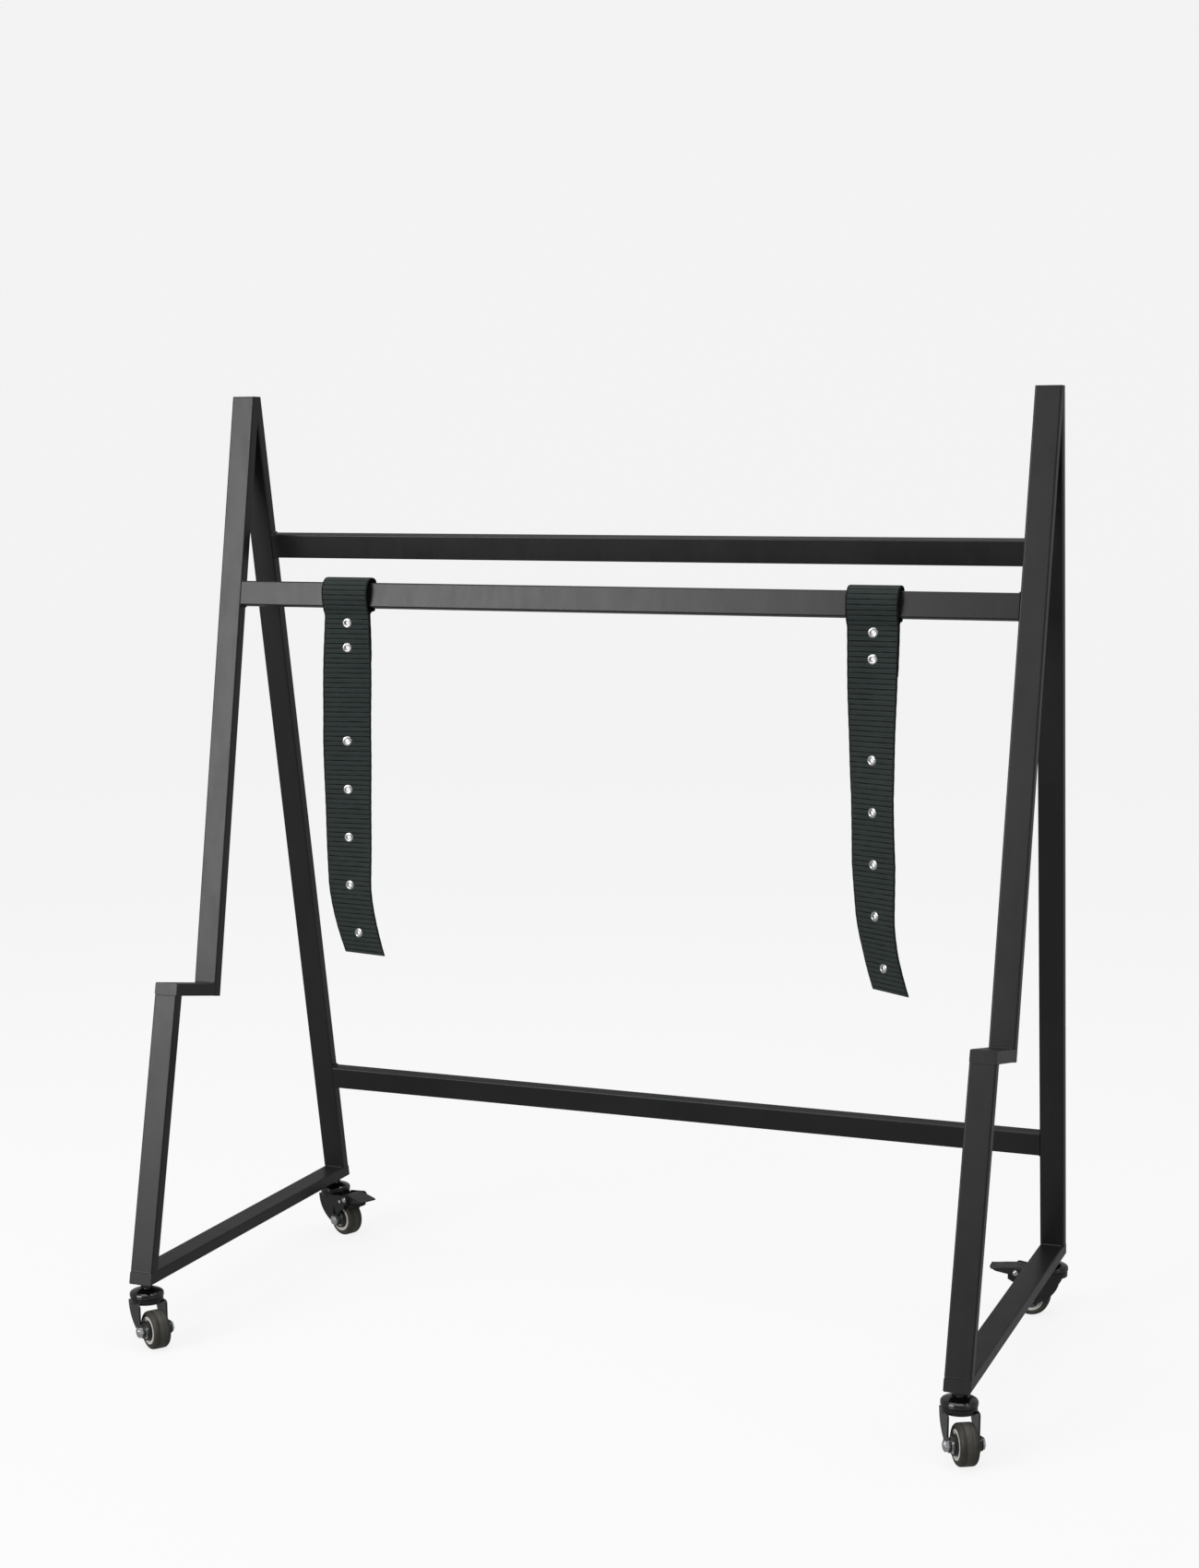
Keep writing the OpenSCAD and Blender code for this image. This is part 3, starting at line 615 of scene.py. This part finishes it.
def smooth_line(line, step):
    """Catmull-Rom through the points, at even steps, with the length run at each."""
    dense = []
    for i in range(len(line) - 1):
        p = [Vector(line[max(i - 1, 0)]), Vector(line[i]), Vector(line[i + 1]),
             Vector(line[min(i + 2, len(line) - 1)])]
        for k in range(12):
            t = k / 12
            dense.append(0.5 * (2 * p[1] + (p[2] - p[0]) * t
                                + (2 * p[0] - 5 * p[1] + 4 * p[2] - p[3]) * t * t
                                + (3 * p[1] - p[0] - 3 * p[2] + p[3]) * t ** 3))
    dense.append(Vector(line[-1]))
    runs = [0.0]
    for a, b in zip(dense, dense[1:]):
        runs.append(runs[-1] + (b.xyz - a.xyz).length)
    total = runs[-1]
    count = round(total / step)
    out, j = [], 0
    for i in range(count + 1):
        s = total * i / count
        while j < len(runs) - 2 and runs[j + 1] < s:
            j += 1
        t = (s - runs[j]) / max(runs[j + 1] - runs[j], 1e-9)
        out.append((s, dense[j].lerp(dense[j + 1], min(t, 1))))
    return out, total


def strap_section(s, width_half):
    """(across, out) points round the webbing's section at length s, with woven ribs."""
    swell = 1 + 0.35 * math.cos(math.pi * s / RIB_PITCH)
    rib = 0.2 * math.cos(2 * math.pi * s / RIB_PITCH) * swell
    front, back = 1.0 + rib, 1.0 - rib
    inner = width_half - 1.1
    top = [(-inner + 2 * inner * i / COLUMNS, front) for i in range(COLUMNS + 1)]
    low = [(inner - 2 * inner * i / COLUMNS, -back) for i in range(COLUMNS + 1)]
    edge = [(0.75, 0.72), (1.1, 0.0), (0.75, -0.72)]
    right = [(inner + u, v) for u, v in edge]
    left = [(-inner - u, v) for u, v in reversed(edge)]
    return top + right + low + left


def add_strap(side):
    """A strap as one ribbed sheet from its hanging end, over the bar, to its short back layer."""
    line, total = smooth_line(strap_line(side), RIB_PITCH / 4)
    rings, along = [], []
    for i, (s, p) in enumerate(line):
        before, after = line[max(i - 1, 0)][1], line[min(i + 1, len(line) - 1)][1]
        tangent = (after.xyz - before.xyz).normalized()
        across = Vector((cos(p.w), sin(p.w), 0))
        out = tangent.cross(across).normalized()
        width = STRAP_W / 2 + 0.25 * math.sin(s / 23) + 0.12 * math.sin(s / 3.1)
        rings.append([(p.xyz + across * u + out * v) * MM for u, v in strap_section(s, width)])
        along.append(s)
    name = side + "_strap_webbing"
    skip, walls = eyelet_openings(side, rings)
    mesh = ring_mesh(name, rings, skip=skip, walls=walls)
    count = len(rings[0])
    section = strap_section(0.0, STRAP_W / 2)
    layer = mesh.uv_layers.new(name="webbing")
    for loop in mesh.loops:
        i, k = divmod(loop.vertex_index, count)
        layer.data[loop.index].uv = (section[k][0] * MM, along[i] * MM)
    obj = new_object(name, mesh, WEBBING)
    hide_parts(side + "_strap_loop", side + "_strap_fold", side + "_strap_tail")
    eyelets = add_eyelets(side)
    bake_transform(obj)


def eyelet_seats(side):
    """Middle, outward direction and number of layers of each eyelet."""
    for d in EYELET_ROW:
        d += EYELET_TOP[side]
        a = lookup(d, TWIST[side])
        layers = 2 if d < STRAP_RETURN else 1
        offset = 0 if layers == 2 else -LAYER
        centre = Vector((STRAP_X[side] + sway(side, d) - offset * sin(a),
                         PINCH_Y + offset * cos(a), PINCH_Z - d))
        yield centre, Vector((sin(a), -cos(a), 0)), layers


def eyelet_openings(side, rings):
    """The webbing's cells under each eyelet, on both faces, and the walls round each opening.
    The eyelet's flanges cover the edge."""
    count = len(rings[0])
    low_first = 2 * COLUMNS + 4
    seats = [(centre * MM, out) for centre, out, _ in eyelet_seats(side)]
    cells = set()
    for i in range(len(rings) - 1):
        for j in range(COLUMNS):
            corners = [rings[i][j], rings[i + 1][j + 1], rings[i][low_first - j],
                       rings[i + 1][low_first - j - 1]]
            middle = sum(corners, Vector()) / 4
            for centre, out in seats:
                away = middle - centre
                depth = away.dot(out)
                if abs(depth) < 5 * MM and (away - out * depth).length < OPENING_R * MM:
                    cells.add((i, j))
    skip = cells | {(i, low_first - 1 - j) for i, j in cells}
    walls = []
    for i, j in cells:
        for a, b, beyond in (((i, j), (i + 1, j), (i, j - 1)),
                             ((i, j + 1), (i + 1, j + 1), (i, j + 1)),
                             ((i, j), (i, j + 1), (i - 1, j)),
                             ((i + 1, j), (i + 1, j + 1), (i + 1, j))):
            if beyond not in cells:
                walls.append((a[0] * count + a[1], b[0] * count + b[1],
                              b[0] * count + low_first - b[1], a[0] * count + low_first - a[1]))
    return skip, walls


def eyelet_profile(half):
    """Rolled eyelet in mm: a domed flange, a flared throat, and a flat curled back."""
    r, hole = EYELET_OD / 2, EYELET_HOLE / 2
    front = [(hole + 0.15, half - 0.4), (hole + 0.02, half + 0.25), (hole + 0.25, half + 0.85),
             (hole + 0.8, half + 1.25), (hole + 1.5, half + 1.35), (hole + 2.3, half + 1.2),
             (r - 0.9, half + 0.75), (r - 0.25, half + 0.35), (r, half + 0.05),
             (r - 0.1, half - 0.25), (hole + 1.2, half - 0.3)]
    back = [(a, -b) for a, b in reversed(front)]
    return front + back


def add_eyelets(side):
    """A strap's rolled eyelets as one piece, in place of the CAD's."""
    meshes = []
    for centre, out, layers in eyelet_seats(side):
        half = LAYER * 2 - 0.15 if layers == 2 else 1.15
        profile = [(r * MM, h * MM) for r, h in eyelet_profile(half)]
        meshes.append(revolved("eyelet", profile, centre * MM, out, 48))
    name = side + "_strap_rolled_eyelets"
    obj = new_object(name, joined(name, meshes), NICKEL, side + "_strap_end")
    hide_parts(side + "_strap_eyelets")
    return obj


# ---- Stage ----

def add_stage():
    """A pale round cove that only the camera sees, a dim room, and soft lamps."""
    radius, bend, height, steps = 13.0, 3.0, 9.0, 96
    section = [(1.0, 0.0), (4.0, 0.0), (8.0, 0.0), (radius - bend, 0.0)]
    for i in range(1, 13):
        a = math.radians(90 * i / 12)
        section.append((radius - bend + bend * math.sin(a), bend * (1 - math.cos(a))))
    section.append((radius, height))
    mesh = bpy.data.meshes.new("floor")
    points, faces = [], []
    for i in range(steps):
        a = 2 * math.pi * i / steps
        points += [(r * math.cos(a), r * math.sin(a), z) for r, z in section]
        for k in range(len(section) - 1):
            first, second = i * len(section) + k, (i + 1) % steps * len(section) + k
            faces.append((first, first + 1, second + 1, second))
    faces.append(tuple(i * len(section) for i in range(steps)))
    mesh.from_pydata(points, [], faces)
    for face in mesh.polygons:
        face.use_smooth = True
    floor = bpy.data.objects.new("floor", mesh)
    bpy.context.scene.collection.objects.link(floor)
    floor.visible_glossy = floor.visible_diffuse = floor.visible_shadow = False
    paper = Nodes("floor_paper", (0.15, 0.15, 0.15), 0.9)
    paper.bsdf.inputs["Specular IOR Level"].default_value = 0.0
    paper.bsdf.inputs["Emission Color"].default_value = (1, 1, 1, 1)
    paper.bsdf.inputs["Emission Strength"].default_value = 0.85
    mesh.materials.append(paper.material)

    world = bpy.data.worlds.new("studio")
    bpy.context.scene.world = world
    world.use_nodes = True
    world.node_tree.nodes["Background"].inputs["Color"].default_value = (0.98, 0.99, 1, 1)
    world.node_tree.nodes["Background"].inputs["Strength"].default_value = 0.26

    def softbox(name, place, aim, width, height, power):
        data = bpy.data.lights.new(name, "AREA")
        data.shape = "RECTANGLE"
        data.size, data.size_y, data.energy = width, height, power
        lamp = bpy.data.objects.new(name, data)
        lamp.location = place
        look = Vector(aim) - Vector(place)
        lamp.rotation_euler = look.to_track_quat("-Z", "Y").to_euler()
        bpy.context.scene.collection.objects.link(lamp)

    softbox("key", (-2.5, -4.2, 2.4), (0.0, 0.0, 1.0), 2.6, 2.9, 125)
    softbox("top", (0.3, -0.2, 4.6), (0.0, 0.0, 0.0), 4.5, 4.5, 84)
    softbox("fill", (4.2, -1.6, 1.8), (0.0, 0.0, 0.7), 1.6, 2.2, 7)


def main():
    finish_nodes()
    for place in CASTER_ANGLE:
        add_tyre(place)
    for side in ("left", "right"):
        side_frame_welds(side)
        add_strap(side)
    rear_y = FRONT_Y + BASE_D
    crossbar_welds("front_bar", FRONT_BAR_Y, CASTER_H + FRONT_BAR_H, LEAN_UPPER)
    for name, h in (("rear_upper_bar", REAR_UPPER_BAR_H), ("rear_lower_bar", REAR_LOWER_BAR_H)):
        y = rear_y - tan(LEAN_REAR) * h - TUBE_T / cos(LEAN_REAR)
        crossbar_welds(name, y, CASTER_H + h, -LEAN_REAR)
    add_stage()
    bpy.context.scene.view_settings.view_transform = "Standard"


main()
